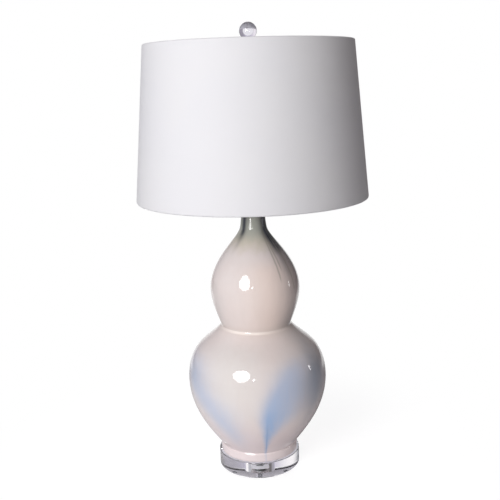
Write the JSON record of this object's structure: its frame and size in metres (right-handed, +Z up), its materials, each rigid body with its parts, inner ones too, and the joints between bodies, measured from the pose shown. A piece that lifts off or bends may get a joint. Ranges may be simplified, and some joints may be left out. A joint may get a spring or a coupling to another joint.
{
  "type": "table lamp",
  "caption": "Table lamp with a glazed double gourd body on a clear disc, a tapered drum shade on a swivelling harp, and a clear ball finial.",
  "frame": {"origin": "middle of the plane that the lamp stands on", "axes": "+Z up along the lamp's axis, -Y the front that the picture shows, +X to the right"},
  "size_m": [0.4312, 0.4312, 0.8525],
  "materials": {
    "pad": "clear soft bumper",
    "clear_acrylic": "polished clear acrylic",
    "zinc_steel": "zinc plated",
    "glaze": "glossy blush glaze with blue and slate runs",
    "bushing_plastic": "moulded nylon",
    "nickel": "polished nickel",
    "insulating_card": "pressed fibre",
    "phenolic": "moulded phenolic",
    "brass": "stamped brass",
    "knob_plastic": "black moulding",
    "solder": "solder tip",
    "black_glass": "black vitrite",
    "bulb_aluminium": "rolled thread",
    "frosted_glass": "inside frosted",
    "white_wire": "white lacquered wire",
    "styrene": "white styrene sheet",
    "linen": "off-white linen"
  },
  "bodies": {
    "base": {"foot_pads": "pad", "acrylic_base": "clear_acrylic", "base_washer": "zinc_steel", "lock_washer": "zinc_steel", "base_nut": "zinc_steel", "lamp_pipe": "zinc_steel", "gourd_body": "glaze", "cord_bushing": "bushing_plastic", "vase_cap": "nickel", "neck_spacer": "nickel", "harp_saddle": "nickel", "saddle_nut": "zinc_steel", "socket_cap": "nickel", "cap_set_screw": "zinc_steel", "socket_shell": "nickel", "socket_liner": "insulating_card", "socket_core": "phenolic", "screw_shell": "brass", "center_contact": "brass", "terminal_screws": "brass"},
    "switch": {"switch_shaft": "zinc_steel", "switch_knob": "knob_plastic"},
    "bulb": {"bulb_contact": "solder", "bulb_insulator": "black_glass", "bulb_base": "bulb_aluminium", "bulb_glass": "frosted_glass"},
    "harp": {"harp_wire": "nickel", "harp_boss": "nickel"},
    "sleeve_left": {"harp_sleeve_left": "nickel"},
    "sleeve_right": {"harp_sleeve_right": "nickel"},
    "stud": {"harp_stud": "nickel"},
    "shade": {"spider_hub": "white_wire", "spider_arms": "white_wire", "top_ring": "white_wire", "bottom_ring": "white_wire", "shade_liner": "styrene", "shade_fabric": "linen"},
    "finial": {"finial_base": "nickel", "finial_ball": "clear_acrylic"}
  },
  "joints": [
    {"name": "switch_turn", "type": "hinge", "parent": "base", "child": "switch", "pos_m": [0, 0, 0.5641], "axis": [0, -1, 0], "continuous": true},
    {"name": "bulb_turn", "type": "hinge", "parent": "base", "child": "bulb", "pos_m": [0, 0, 0.6], "axis": [0, 0, 1], "range_deg": [0, 1980]},
    {"name": "harp_lift", "type": "slide", "parent": "base", "child": "harp", "axis": [0, 0, 1], "range_m": [0, 0.025]},
    {"name": "sleeve_left_slide", "type": "slide", "parent": "harp", "child": "sleeve_left", "axis": [0, 0, 1], "range_m": [0, 0.012]},
    {"name": "sleeve_right_slide", "type": "slide", "parent": "harp", "child": "sleeve_right", "axis": [0, 0, 1], "range_m": [0, 0.012]},
    {"name": "shade_turn", "type": "hinge", "parent": "harp", "child": "stud", "pos_m": [0, 0, 0.8008], "axis": [0, 0, 1], "continuous": true},
    {"name": "shade_lift", "type": "slide", "parent": "stud", "child": "shade", "axis": [0, 0, 1], "range_m": [0, 0.29]},
    {"name": "finial_turn", "type": "hinge", "parent": "shade", "child": "finial", "pos_m": [0, 0, 0.8365], "axis": [0, 0, 1], "range_deg": [0, 2880]}
  ]
}
